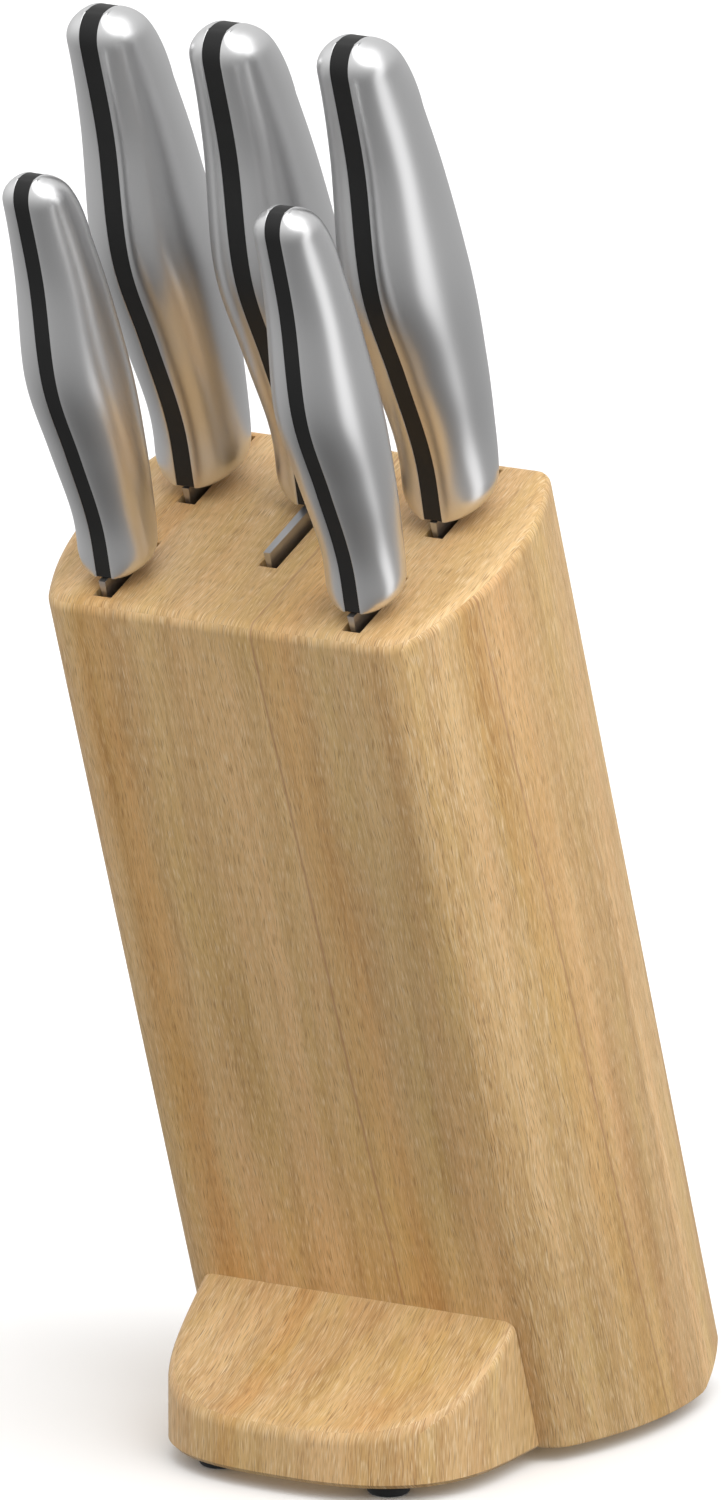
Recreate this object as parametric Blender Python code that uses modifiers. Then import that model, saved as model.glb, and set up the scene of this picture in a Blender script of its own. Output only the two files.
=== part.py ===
"""A wooden knife block that leans forward, with its front foot and five knives.

Metres, +Z up, the front towards -Y. The block, its slots and the knives are drawn in a
leaning frame: u runs across, v back from the block's front face, w up along the slots.
"""

import math

import bmesh
import bpy
from mathutils import Matrix, Vector

# Block
LEAN = math.radians(20.0)
TOP_FRONT_Y = -0.0623  # the top face's front edge
TOP_FRONT_Z = 0.2088
BLOCK_BOTTOM_Z = 0.0035
BLOCK_DEPTH = 0.076
SIDE_RADIUS = 0.0808  # the bulging sides, seen along the slots
WIDEST_HALF = 0.054
CORNER_RADIUS = 0.008
REAR_CORNER_RADIUS = 0.004
SQUARE_END_W = -0.2375  # behind the level underside, the lower end is cut square to the grain
BASE_SHIFT_Y = 0.00133  # puts the middle of the whole object over the origin
TOP_EDGE_RADIUS = 0.003
BOTTOM_EDGE_SHARE = 0.3  # of the top edge's rounding
GLUE_GAP = 0.0002  # between glued pieces

# Slots: a layer of spacer strips at each u, with the knives between the strips
SLOT_WIDTH = 0.0046
SIDE_LAYER_U = 0.032
FRONT_SLOT = (0.0041, 0.0271)
REAR_SLOT = (0.0435, 0.0725)
MIDDLE_SLOT = (0.0238, 0.0725)

# Front foot
FOOT_HALF_WIDTH = 0.041
FOOT_ROUND_DEPTH = 0.0397
FOOT_ROUND_POWER = 2.7
FOOT_SIDE_Y = 0.0018  # where the straight sides turn into the rounded front
FOOT_BACK_Y = 0.028
FOOT_FRONT_HEIGHT = 0.0125
FOOT_FRONT_SLOPE = 0.242
FOOT_CURL = 7.7  # how fast the top steepens towards the block, per metre
FOOT_EDGE_RADIUS = 0.003
FOOT_BASE_CHAMFER = 0.001

# Dowels between the foot and the block
DOWEL_RADIUS = 0.004
DOWEL_HALF_LENGTH = 0.015
DOWEL_U = 0.016
DOWEL_W = -0.200

# Rubber feet and their screws
RUBBER_RADIUS = 0.005
RUBBER_PLACES = {
    "front_left": (-0.022, -0.0238),
    "front_right": (0.022, -0.0238),
    "rear_left": (-0.042, 0.0590),
    "rear_right": (0.042, 0.0590),
}
SCREW_HEAD_RADIUS = 0.0026
SCREW_SHANK_RADIUS = 0.0012
SCREW_LENGTH = 0.011

# Handles: heights are over the neck, along the handle. The belly and the spine are measured
# back from the belly's corner at the butt, and the half thickness from the middle plane.
HANDLE_BASE_W = 0.0035
HANDLE_LENGTH = 0.122
BELLY = ((0.0, 0.0021), (0.015, 0.0031), (0.039, -0.0006), (0.063, -0.0048), (0.094, -0.0006), (0.116, 0.0))
SPINE = ((0.0, 0.0215), (0.015, 0.0247), (0.035, 0.0257), (0.060, 0.0257), (0.080, 0.0246), (0.100, 0.0217))
HALF_THICKNESS = ((0.0, 0.0110), (0.015, 0.0108), (0.032, 0.0121), (0.056, 0.0132), (0.080, 0.0116), (0.116, 0.0088))
BUTT_TOP = 0.0055  # where belly and spine meet over the butt
BELLY_ROUND_FROM = 0.1155
SPINE_ROUND_FROM = 0.0985
SIDE_ROUND_FROM = 0.115
BASE_ROUND = 0.0055
SPINE_BASE_CUT = 0.0028
HANDLE_HEIGHTS = (0.0, 0.0012, 0.0033, 0.0064, 0.011, 0.019, 0.029, 0.040, 0.052, 0.064, 0.076, 0.088)
BUTT_STEPS = 6
HANDLE_ROUNDNESS = 2.1
HANDLE_SEGMENTS = 7
SHELL_WALL = 0.001
SHELL_GAP = 0.0003
CORE_WIDTH = 0.0045
LARGE = (1.0, 1.0, 1.0083)  # handle scale across, back and along
SMALL = (0.84, 0.78, 0.8465)
TANG = (0.007, 0.017, 0.060)  # front, back and top of the tang in the large handle
TANG_CLEARANCE = 0.0003

# Knives: corner is v of the belly's corner at the butt; heel and spine are v of the edge's
# heel and of the spine, tip is v of both at the tip; curl and fall set how late the edge
# curls up and the spine drops.
KNIVES = {
    "bread_knife": {
        "u": -SIDE_LAYER_U, "corner": 0.0426, "size": LARGE, "thick": 0.0022, "length": 0.200,
        "heel": 0.0445, "spine": 0.0680, "tip": (0.0595, 0.0660), "curl": 9.0, "fall": 7.0, "teeth": 26,
    },
    "chefs_knife": {
        "u": 0.0, "corner": 0.0417, "size": LARGE, "thick": 0.0024, "length": 0.200,
        "heel": 0.0245, "spine": 0.0680, "tip": (0.0625, 0.0640), "curl": 2.8, "fall": 3.2, "teeth": 0,
    },
    "carving_knife": {
        "u": SIDE_LAYER_U, "corner": 0.0426, "size": LARGE, "thick": 0.0022, "length": 0.200,
        "heel": 0.0445, "spine": 0.0680, "tip": (0.0645, 0.0660), "curl": 4.5, "fall": 5.0, "teeth": 0,
    },
    "utility_knife": {
        "u": -SIDE_LAYER_U, "corner": 0.0046, "size": SMALL, "thick": 0.0018, "length": 0.125,
        "heel": 0.0051, "spine": 0.0243, "tip": (0.0208, 0.0222), "curl": 3.0, "fall": 3.6, "teeth": 0,
    },
    "paring_knife": {
        "u": SIDE_LAYER_U, "corner": 0.0046, "size": SMALL, "thick": 0.0018, "length": 0.090,
        "heel": 0.0051, "spine": 0.0243, "tip": (0.0178, 0.0194), "curl": 2.6, "fall": 2.6, "teeth": 0,
    },
}
EDGE_THICKNESS = 0.0004
HEEL_THICKNESS = 0.0017
HEEL_LENGTH = 0.010
TOOTH_DEPTH = 0.0012
TEETH_FROM = 0.08
TEETH_SPAN = 0.84
BLADE_STATIONS = 12


def clear_scene():
    for obj in list(bpy.data.objects):
        bpy.data.objects.remove(obj, do_unlink=True)
    for collection in list(bpy.data.collections):
        bpy.data.collections.remove(collection)


def new_collection(name):
    collection = bpy.data.collections.new(name)
    bpy.context.scene.collection.children.link(collection)
    return collection


def new_material(name, colour, roughness, metallic):
    material = bpy.data.materials.new(name)
    material.use_nodes = True
    shader = material.node_tree.nodes["Principled BSDF"]
    shader.inputs["Base Color"].default_value = (*colour, 1.0)
    shader.inputs["Roughness"].default_value = roughness
    shader.inputs["Metallic"].default_value = metallic
    material.diffuse_color = (*colour, 1.0)
    return material


def wood(name, tone):
    return new_material(name, (0.62 * tone, 0.42 * tone, 0.23 * tone), 0.55, 0.0)


def steel(name):
    return new_material(name, (0.60, 0.60, 0.60), 0.30, 1.0)


def new_empty(name, parent, location, lean=0.0):
    empty = bpy.data.objects.new(name, None)
    empty.empty_display_size = 0.02
    empty.parent = parent
    empty.location = location
    empty.rotation_euler = (lean, 0.0, 0.0)
    parts.objects.link(empty)
    return empty


def new_object(name, mesh_data, collection, parent, material=None):
    mesh = mesh_data
    if isinstance(mesh_data, bmesh.types.BMesh):
        mesh = bpy.data.meshes.new(name)
        mesh_data.to_mesh(mesh)
        mesh_data.free()
    obj = bpy.data.objects.new(name, mesh)
    obj.parent = parent
    if material:
        obj.data.materials.append(material)
    collection.objects.link(obj)
    return obj


def new_cutter(name, form, parent):
    cutter = new_object(name, form, cutters, parent)
    cutter.hide_render = True
    cutter.display_type = "WIRE"
    return cutter


def add_boolean(obj, operation, cutter):
    modifier = obj.modifiers.new(cutter.name, "BOOLEAN")
    modifier.operation = operation
    modifier.solver = "EXACT"
    modifier.object = cutter


def box(low, high):
    form = bmesh.new()
    centre = (Vector(low) + Vector(high)) / 2
    size = Vector(high) - Vector(low)
    place = Matrix.Translation(centre) @ Matrix.Diagonal((*size, 1.0))
    bmesh.ops.create_cube(form, size=1.0, matrix=place)
    return form


def rod(radius, low, high, segments, turn=Matrix.Identity(4)):
    form = bmesh.new()
    middle = Matrix.Translation((0, 0, (low + high) / 2))
    bmesh.ops.create_cone(
        form,
        cap_ends=True,
        segments=segments,
        radius1=radius,
        radius2=radius,
        depth=high - low,
        matrix=turn @ middle,
    )
    return form


def arc(centre, radius, start, end, count):
    points = []
    for i in range(count + 1):
        angle = start + (end - start) * i / count
        points.append((centre[0] + radius * math.cos(angle), centre[1] + radius * math.sin(angle)))
    return points


def block_outline():
    """The block's section across the slots, anticlockwise from the front right corner."""
    side_u = WIDEST_HALF - SIDE_RADIUS
    middle_v = BLOCK_DEPTH / 2
    front, rear = [], []
    for corner, radius in ((front, CORNER_RADIUS), (rear, REAR_CORNER_RADIUS)):
        reach = SIDE_RADIUS - radius
        drop = middle_v - radius
        corner += [side_u + math.sqrt(reach**2 - drop**2), math.asin(drop / reach)]
    front_u, front_tilt = front
    rear_u, rear_tilt = rear
    right = arc((front_u, CORNER_RADIUS), CORNER_RADIUS, -math.pi / 2, -front_tilt, 4)
    right += arc((side_u, middle_v), SIDE_RADIUS, -front_tilt, rear_tilt, 12)[1:]
    right += arc((rear_u, BLOCK_DEPTH - REAR_CORNER_RADIUS), REAR_CORNER_RADIUS, rear_tilt, math.pi / 2, 4)[1:]
    left = [(-u, v) for u, v in reversed(right)]
    return right + left


def block_blank():
    """The whole block before it is divided into boards and strips."""
    form = bmesh.new()
    weights = form.edges.layers.float.new("bevel_weight_edge")
    outline = block_outline()
    top = [form.verts.new((u, v, 0.0)) for u, v in outline]
    bottom = []
    for u, v in outline:
        w = (BLOCK_BOTTOM_Z - TOP_FRONT_Z - v * math.sin(LEAN)) / math.cos(LEAN)
        bottom.append(form.verts.new((u, v, w)))
    form.faces.new(top)
    form.faces.new(list(reversed(bottom)))
    for i in range(len(outline)):
        j = (i + 1) % len(outline)
        form.faces.new((top[j], top[i], bottom[i], bottom[j]))
        form.edges.get((top[i], top[j]))[weights] = 1.0
        form.edges.get((bottom[i], bottom[j]))[weights] = BOTTOM_EDGE_SHARE
    mesh = bpy.data.meshes.new("block_blank")
    form.to_mesh(mesh)
    form.free()
    return mesh


def block_piece(name, u_range, v_range, tone):
    """A board or strip: the part of the blank inside these ranges."""
    low = (u_range[0], v_range[0], SQUARE_END_W)
    high = (u_range[1], v_range[1], 0.05)
    piece = new_object(name, blank.copy(), parts, block_frame, wood(name, tone))
    bevel = piece.modifiers.new("edges", "BEVEL")
    bevel.limit_method = "WEIGHT"
    bevel.width = TOP_EDGE_RADIUS
    bevel.segments = 3
    add_boolean(piece, "INTERSECT", new_cutter(name + "_bounds", box(low, high), block_frame))
    return piece


def boards():
    """Four boards, with a layer for the slots between each two."""
    half = SLOT_WIDTH / 2
    faces = (SIDE_LAYER_U + half, SIDE_LAYER_U - half, half)
    outside = 0.07
    whole = (-0.01, BLOCK_DEPTH + 0.01)
    made = {}
    for side, sign in (("left", -1), ("right", 1)):
        outer = sorted((sign * faces[0], sign * outside))
        inner = sorted((sign * faces[1], sign * faces[2]))
        made["outer", side] = block_piece("board_outer_" + side, outer, whole, 1.0)
        made["inner", side] = block_piece("board_inner_" + side, inner, whole, 0.96)
    return made


def strips():
    """The spacer strips that the slots lie between."""
    half = SLOT_WIDTH / 2 - GLUE_GAP
    start = -0.01
    end = BLOCK_DEPTH + 0.01
    for side, u in (("left", -SIDE_LAYER_U), ("right", SIDE_LAYER_U)):
        across = (u - half, u + half)
        block_piece("strip_front_" + side, across, (start, FRONT_SLOT[0]), 0.98)
        block_piece("strip_middle_" + side, across, (FRONT_SLOT[1], REAR_SLOT[0]), 0.94)
        block_piece("strip_rear_" + side, across, (REAR_SLOT[1], end), 0.98)
    across = (-half, half)
    block_piece("strip_front_centre", across, (start, MIDDLE_SLOT[0]), 0.98)
    block_piece("strip_rear_centre", across, (MIDDLE_SLOT[1], end), 0.98)


def foot_height(y):
    """The height of the foot's hollowed top over its base."""
    back = y - (FOOT_SIDE_Y - FOOT_ROUND_DEPTH)
    return FOOT_FRONT_HEIGHT + FOOT_FRONT_SLOPE * back + FOOT_CURL * back**2


def foot_half_outline():
    """Points (x, y) of the foot's right side, from the front to the back."""
    power = 2 / FOOT_ROUND_POWER
    points = []
    for degrees in (86, 80, 72, 64, 56, 48, 40, 32, 24, 15, 7, 0):
        angle = math.radians(degrees)
        x = FOOT_HALF_WIDTH * math.cos(angle) ** power
        y = FOOT_SIDE_Y - FOOT_ROUND_DEPTH * math.sin(angle) ** power
        points.append(Vector((x, y)))
    points.append(Vector((FOOT_HALF_WIDTH, FOOT_BACK_Y)))
    return points


def inset(points, distance):
    """The outline moved inwards; its first point keeps facing the front."""
    moved = []
    for i, point in enumerate(points):
        before = points[i - 1] if i else Vector((-point.x, point.y))
        after = points[min(i + 1, len(points) - 1)]
        along = (after - before).normalized()
        moved.append(point + distance * Vector((-along.y, along.x)))
    moved[-1].y = points[-1].y
    return moved


def front_foot():
    half = foot_half_outline()
    rings = []
    rings.append([(p, 0.0) for p in inset(half, FOOT_BASE_CHAMFER)])
    rings.append([(p, FOOT_BASE_CHAMFER) for p in half])
    for step in range(5):
        angle = math.radians(90) * step / 4
        moved = inset(half, FOOT_EDGE_RADIUS * (1 - math.cos(angle)))
        drop = FOOT_EDGE_RADIUS * (1 - math.sin(angle))
        rings.append([(p, foot_height(p.y) - drop) for p in moved])
    form = bmesh.new()
    right = []
    left = []
    for ring in rings:
        right.append([form.verts.new((p.x, p.y, BLOCK_BOTTOM_Z + h)) for p, h in ring])
        left.append([form.verts.new((-p.x, p.y, BLOCK_BOTTOM_Z + h)) for p, h in ring])
    for low, high in zip(range(len(rings) - 1), range(1, len(rings))):
        form.faces.new((left[low][0], right[low][0], right[high][0], left[high][0]))
        for i in range(len(half) - 1):
            form.faces.new((right[low][i], right[low][i + 1], right[high][i + 1], right[high][i]))
            form.faces.new((left[low][i + 1], left[low][i], left[high][i], left[high][i + 1]))
    for i in range(len(half) - 1):
        form.faces.new((right[-1][i], right[-1][i + 1], left[-1][i + 1], left[-1][i]))
        form.faces.new((right[0][i + 1], right[0][i], left[0][i], left[0][i + 1]))
    form.faces.new([ring[-1] for ring in right] + [ring[-1] for ring in reversed(left)])
    foot = new_object("front_foot", form, parts, base, wood("front_foot", 1.02))
    behind = box((-0.07, -GLUE_GAP, -0.28), (0.07, 0.06, -0.10))
    add_boolean(foot, "DIFFERENCE", new_cutter("foot_back", behind, block_frame))
    return foot


def dowels(foot, made):
    """Two dowels square to the block's front face, half in the foot and half in the block."""
    turn = Matrix.Rotation(math.radians(90), 4, "X")
    for side, sign in (("left", -1), ("right", 1)):
        place = Matrix.Translation((sign * DOWEL_U, 0.0, DOWEL_W)) @ turn
        length = DOWEL_HALF_LENGTH
        form = rod(DOWEL_RADIUS, -length, length, 20, place)
        dowel = new_object("dowel_" + side, form, parts, block_frame, wood("dowel_" + side, 0.9))
        chamfer = dowel.modifiers.new("chamfer", "BEVEL")
        chamfer.width = 0.0006
        chamfer.segments = 1
        chamfer.limit_method = "ANGLE"
        chamfer.angle_limit = math.radians(60)
        reach = length + 0.0005
        hole = rod(DOWEL_RADIUS + GLUE_GAP, -reach, reach, 20, place)
        hole = new_cutter("dowel_hole_" + side, hole, block_frame)
        add_boolean(foot, "DIFFERENCE", hole)
        add_boolean(made["inner", side], "DIFFERENCE", hole)


def turned(name, profile, closed, steps, parent, material):
    """A turned piece from its profile (radius, height), drawn down its outer side."""
    form = bmesh.new()
    verts = [form.verts.new((radius, 0.0, height)) for radius, height in profile]
    for first, second in zip(verts, verts[1:]):
        form.edges.new((first, second))
    if closed:
        form.edges.new((verts[-1], verts[0]))
    obj = new_object(name, form, parts, parent, material)
    screw = obj.modifiers.new("turn", "SCREW")
    screw.steps = steps
    screw.render_steps = steps
    screw.use_merge_vertices = True
    screw.merge_threshold = 0.00001
    return obj


def rubber_feet(foot, made):
    """A rubber foot at each corner, held by a countersunk screw from below."""
    height = BLOCK_BOTTOM_Z - GLUE_GAP
    outer = RUBBER_RADIUS
    pad = (
        (outer, height),
        (outer, 0.0012),
        (outer - 0.0004, 0.0003),
        (outer - 0.0010, 0.0),
        (0.0032, 0.0),
        (0.0032, 0.0022),
        (SCREW_SHANK_RADIUS + 0.0003, 0.0028),
        (SCREW_SHANK_RADIUS + 0.0003, height),
    )
    fastener = (
        (0.0, SCREW_LENGTH),
        (SCREW_SHANK_RADIUS, SCREW_LENGTH - 0.0015),
        (SCREW_SHANK_RADIUS, 0.0028),
        (SCREW_HEAD_RADIUS, 0.0016),
        (SCREW_HEAD_RADIUS, 0.0011),
        (0.0, 0.0009),
    )
    for place, (x, y) in RUBBER_PLACES.items():
        rubber = new_material("rubber_foot_" + place, (0.02, 0.02, 0.022), 0.7, 0.0)
        pad_obj = turned("rubber_foot_" + place, pad, True, 24, base, rubber)
        screw_obj = turned("foot_screw_" + place, fastener, False, 14, base, steel("foot_screw_" + place))
        hole = rod(SCREW_SHANK_RADIUS + 0.0003, -0.01, SCREW_LENGTH + 0.0006, 14)
        hole = new_cutter("screw_hole_" + place, hole, base)
        for obj in (pad_obj, screw_obj, hole):
            obj.location = (x, y, 0.0)
        side = place.split("_")[1]
        host = foot if place.startswith("front") else made["outer", side]
        add_boolean(host, "DIFFERENCE", hole)


def curve(points, x):
    """A smooth curve through (x, value) points, with each slope the mean of its neighbours'."""
    slopes = [(b[1] - a[1]) / (b[0] - a[0]) for a, b in zip(points, points[1:])]
    tangents = [slopes[0]] + [(a + b) / 2 for a, b in zip(slopes, slopes[1:])] + [slopes[-1]]
    i = 0
    while i < len(points) - 2 and x > points[i + 1][0]:
        i += 1
    step = points[i + 1][0] - points[i][0]
    z = (x - points[i][0]) / step
    value = (2 * z**3 - 3 * z**2 + 1) * points[i][1] + (3 * z**2 - 2 * z**3) * points[i + 1][1]
    return value + (z**3 - 2 * z**2 + z) * step * tangents[i] + (z**3 - z**2) * step * tangents[i + 1]


def quarter(x, start, end):
    """The height of a quarter ellipse that falls from 1 at start to 0 at end."""
    z = min(max((x - start) / (end - start), 0.0), 1.0)
    return math.sqrt(1 - z**2)


def handle_section(height):
    """Belly, spine and half thickness of the large handle at this height."""
    belly = curve(BELLY, min(height, BELLY_ROUND_FROM))
    belly = BUTT_TOP - (BUTT_TOP - belly) * quarter(height, BELLY_ROUND_FROM, HANDLE_LENGTH)
    spine = curve(SPINE, min(height, SPINE_ROUND_FROM))
    spine = BUTT_TOP + (spine - BUTT_TOP) * quarter(height, SPINE_ROUND_FROM, HANDLE_LENGTH)
    base = quarter(BASE_ROUND - height, 0.0, BASE_ROUND)
    spine -= SPINE_BASE_CUT * (1 - quarter(2 * BASE_ROUND - height, 0.0, 2 * BASE_ROUND))
    half = curve(HALF_THICKNESS, height) * quarter(height, SIDE_ROUND_FROM, HANDLE_LENGTH)
    return belly, spine, half * (0.6 + 0.4 * base)


def handle_sections(size, corner):
    """Each section as (w, belly v, spine v, half thickness)."""
    across, back, along = size
    heights = list(HANDLE_HEIGHTS)
    for step in range(BUTT_STEPS + 1):
        share = math.sin(math.radians(90) * step / BUTT_STEPS)
        heights.append(SPINE_ROUND_FROM + (HANDLE_LENGTH - SPINE_ROUND_FROM) * share)
    heights[-1] -= 0.0001
    sections = []
    for height in heights:
        belly, spine, half = handle_section(height)
        w = HANDLE_BASE_W + along * height
        sections.append((w, corner + back * belly, corner + back * spine, across * half))
    return sections


def shell_points(sections, sign, start, wall):
    """Rows of points round one side of the handle; wall moves the surface inwards."""
    low = sections[0][0] + wall
    span = sections[-1][0] - sections[0][0]
    share = (span - 2 * wall) / span
    rows = []
    for w, belly, spine, half in sections:
        middle = (belly + spine) / 2
        depth = max((spine - belly) / 2 - wall, 0.0006 if wall else 0.0)
        reach = max(half - start - wall, 0.0006 if wall else 0.0014)
        height = low + (w - sections[0][0]) * share
        row = []
        for step in range(HANDLE_SEGMENTS + 1):
            angle = math.pi * (step / HANDLE_SEGMENTS - 0.5)
            across = abs(math.cos(angle)) ** (2 / HANDLE_ROUNDNESS)
            along = math.copysign(abs(math.sin(angle)) ** (2 / HANDLE_ROUNDNESS), angle)
            if step in (0, HANDLE_SEGMENTS):
                across = 0.0
            row.append((sign * (start + reach * across), middle + depth * along, height))
        rows.append(row)
    return rows


def handle_shell(name, sections, sign, parent, across):
    """Half of the hollow handle: an outer and an inner skin joined round the open side."""
    start = across * CORE_WIDTH / 2 + SHELL_GAP
    form = bmesh.new()
    outer = [[form.verts.new(p) for p in row] for row in shell_points(sections, sign, start, 0.0)]
    inner = [[form.verts.new(p) for p in row] for row in shell_points(sections, sign, start, SHELL_WALL)]
    last = HANDLE_SEGMENTS
    for i in range(len(sections) - 1):
        for j in range(last):
            form.faces.new((outer[i][j], outer[i][j + 1], outer[i + 1][j + 1], outer[i + 1][j]))
            form.faces.new((inner[i][j + 1], inner[i][j], inner[i + 1][j], inner[i + 1][j + 1]))
        form.faces.new((outer[i][0], outer[i + 1][0], inner[i + 1][0], inner[i][0]))
        form.faces.new((outer[i + 1][last], outer[i][last], inner[i][last], inner[i + 1][last]))
    for end, flip in ((0, True), (-1, False)):
        skin = outer[end] if flip else list(reversed(outer[end]))
        lining = list(reversed(inner[end])) if flip else inner[end]
        form.faces.new(list(reversed(skin)))
        form.faces.new(list(reversed(lining)))
        rim = (outer[end][0], inner[end][0], inner[end][last], outer[end][last])
        form.faces.new(rim if flip else tuple(reversed(rim)))
    bmesh.ops.recalc_face_normals(form, faces=form.faces)
    shell = new_object(name, form, parts, parent, steel(name))
    shell.data.shade_smooth()
    shell.data.set_sharp_from_angle(angle=math.radians(40))
    return shell


def handle_core(name, sections, parent, across, tang):
    """The dark core that shows as a band round the handle, with a pocket for the tang."""
    half = across * CORE_WIDTH / 2
    outline = [(belly, w) for w, belly, _, _ in sections]
    outline += [(spine, w) for w, _, spine, _ in reversed(sections)]
    form = bmesh.new()
    near = [form.verts.new((-half, v, w)) for v, w in outline]
    far = [form.verts.new((half, v, w)) for v, w in outline]
    form.faces.new(near)
    form.faces.new(list(reversed(far)))
    for i in range(len(outline)):
        j = (i + 1) % len(outline)
        form.faces.new((near[j], near[i], far[i], far[j]))
    bmesh.ops.recalc_face_normals(form, faces=form.faces)
    core = new_object(name, form, parts, parent, new_material(name, (0.018, 0.018, 0.018), 0.5, 0.0))
    front, back, top, thickness = tang
    side = thickness / 2 + TANG_CLEARANCE
    low = (-side, front - TANG_CLEARANCE, HANDLE_BASE_W - 0.01)
    high = (side, back + TANG_CLEARANCE, top + TANG_CLEARANCE)
    add_boolean(core, "DIFFERENCE", new_cutter(name + "_pocket", box(low, high), parent))
    return core


def blade_sections(knife, tang):
    """Sections (w, edge v, spine v, edge thickness, spine thickness), from the tang down."""
    front, back, top, thickness = tang
    shoulder = HANDLE_BASE_W - 0.0003
    sections = [
        (top, front + 0.001, back - 0.001, thickness, thickness),
        (shoulder, front, back, thickness, thickness),
    ]
    shares = [i / BLADE_STATIONS for i in range(BLADE_STATIONS + 1)]
    shares += [0.03, 0.06, 0.96, 0.985, 0.995]
    teeth = knife["teeth"]
    if teeth:
        toothed = [TEETH_FROM + TEETH_SPAN * i / (2 * teeth) for i in range(2 * teeth + 1)]
        plain = [s for s in shares if not TEETH_FROM < s < TEETH_FROM + TEETH_SPAN]
        shares = plain + toothed
    for share in sorted(set(shares)):
        w = shoulder - 0.00005 - knife["length"] * share
        edge_v = knife["heel"] + (knife["tip"][0] - knife["heel"]) * share ** knife["curl"]
        spine_v = knife["spine"] + (knife["tip"][1] - knife["spine"]) * share ** knife["fall"]
        if teeth and share in toothed and toothed.index(share) % 2:
            edge_v += TOOTH_DEPTH
        sharp = min(share * knife["length"] / HEEL_LENGTH, 1.0)
        edge_t = HEEL_THICKNESS + (EDGE_THICKNESS - HEEL_THICKNESS) * sharp
        spine_t = thickness * (1.0 - 0.4 * share)
        sections.append((w, edge_v, spine_v, min(edge_t, spine_t), spine_t))
    return sections


def blade(name, knife, tang, parent):
    """Each section is a wedge, thin at the edge and thick at the spine."""
    form = bmesh.new()
    rows = []
    for w, edge_v, spine_v, edge_t, spine_t in blade_sections(knife, tang):
        corners = (
            (-edge_t / 2, edge_v),
            (edge_t / 2, edge_v),
            (spine_t / 2, spine_v),
            (-spine_t / 2, spine_v),
        )
        rows.append([form.verts.new((u, v, w)) for u, v in corners])
    for upper, lower in zip(rows, rows[1:]):
        for j in range(4):
            k = (j + 1) % 4
            form.faces.new((upper[k], upper[j], lower[j], lower[k]))
    form.faces.new(rows[0])
    form.faces.new(list(reversed(rows[-1])))
    bmesh.ops.recalc_face_normals(form, faces=form.faces)
    return new_object(name, form, parts, parent, steel(name))


def knives():
    """Each knife hangs on an empty on its slot's middle line, where its slide axis runs."""
    for name, knife in KNIVES.items():
        carrier = new_empty(name, block_frame, (knife["u"], 0.0, 0.0))
        across, back, along = knife["size"]
        sections = handle_sections(knife["size"], knife["corner"])
        tang = (
            knife["corner"] + back * TANG[0],
            knife["corner"] + back * TANG[1],
            HANDLE_BASE_W + along * TANG[2],
            knife["thick"],
        )
        blade(name + "_blade", knife, tang, carrier)
        handle_core(name + "_core", sections, carrier, across, tang)
        handle_shell(name + "_left_shell", sections, -1, carrier, across)
        handle_shell(name + "_right_shell", sections, 1, carrier, across)


clear_scene()
parts = new_collection("knife_block")
cutters = new_collection("cutters")
base = new_empty("base_frame", None, (0.0, BASE_SHIFT_Y, 0.0))
block_frame = new_empty("block_frame", base, (0.0, TOP_FRONT_Y, TOP_FRONT_Z), LEAN)
blank = block_blank()
board_set = boards()
strips()
foot_obj = front_foot()
dowels(foot_obj, board_set)
rubber_feet(foot_obj, board_set)
knives()
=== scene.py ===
import math

import bmesh
import bpy
from mathutils import Matrix, Vector


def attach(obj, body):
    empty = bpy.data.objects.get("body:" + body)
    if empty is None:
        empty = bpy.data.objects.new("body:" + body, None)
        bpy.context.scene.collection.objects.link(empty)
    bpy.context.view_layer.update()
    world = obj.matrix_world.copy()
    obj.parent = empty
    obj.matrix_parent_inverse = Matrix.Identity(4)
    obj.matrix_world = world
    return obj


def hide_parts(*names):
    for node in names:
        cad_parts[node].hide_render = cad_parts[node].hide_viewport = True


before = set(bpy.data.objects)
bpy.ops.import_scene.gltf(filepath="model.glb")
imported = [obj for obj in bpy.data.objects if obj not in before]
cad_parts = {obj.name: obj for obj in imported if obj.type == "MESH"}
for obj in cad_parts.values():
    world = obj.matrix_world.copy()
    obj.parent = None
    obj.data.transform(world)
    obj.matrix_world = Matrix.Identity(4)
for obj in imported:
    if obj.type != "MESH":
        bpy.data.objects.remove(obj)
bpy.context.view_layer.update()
print("frame loaded with", len(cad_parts), "nodes")

lean = {
    "angle": math.radians(20.0),
    "topFrontY": -0.06097,  # the block's top front edge
    "topFrontZ": 0.2088,
    "bottomZ": 0.0035,  # underside of the wood
}
# u, v and w below run right, back and up in the leaning block, from the middle of its top front edge
topFront = (0.0, lean["topFrontY"], lean["topFrontZ"])
leanPlace = Matrix.Translation(topFront) @ Matrix.Rotation(lean["angle"], 4, "X")
down = leanPlace.inverted().to_3x3() @ Vector((0, 0, -1))
near = 1e-7  # how close two points count as touching, in metres


# mesh helpers

def finishPiece(form, name, material, body, node, sharpAngle=35.0):
    bmesh.ops.remove_doubles(form, verts=form.verts, dist=near)
    bmesh.ops.recalc_face_normals(form, faces=form.faces)
    mesh = bpy.data.meshes.new(name)
    form.to_mesh(mesh)
    form.free()
    mesh.materials.append(material)
    mesh.shade_smooth()
    mesh.set_sharp_from_angle(angle=math.radians(sharpAngle))
    piece = bpy.data.objects.new(name, mesh)
    bpy.context.scene.collection.objects.link(piece)
    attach(piece, body)
    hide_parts(node)


def rowPairs(row, closed):
    return list(zip(row, row[1:])) + ([(row[-1], row[0])] if closed else [])


def startRow(form, points, closed=False):
    row = [form.verts.new(point) for point in points]
    for pair in rowPairs(row, closed):
        form.edges.new(pair)
    return row


def rowEdges(form, row, closed=False):
    return [form.edges.get(pair) for pair in rowPairs(row, closed)]


def vertsOf(items):
    return [item for item in items if isinstance(item, bmesh.types.BMVert)]


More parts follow.
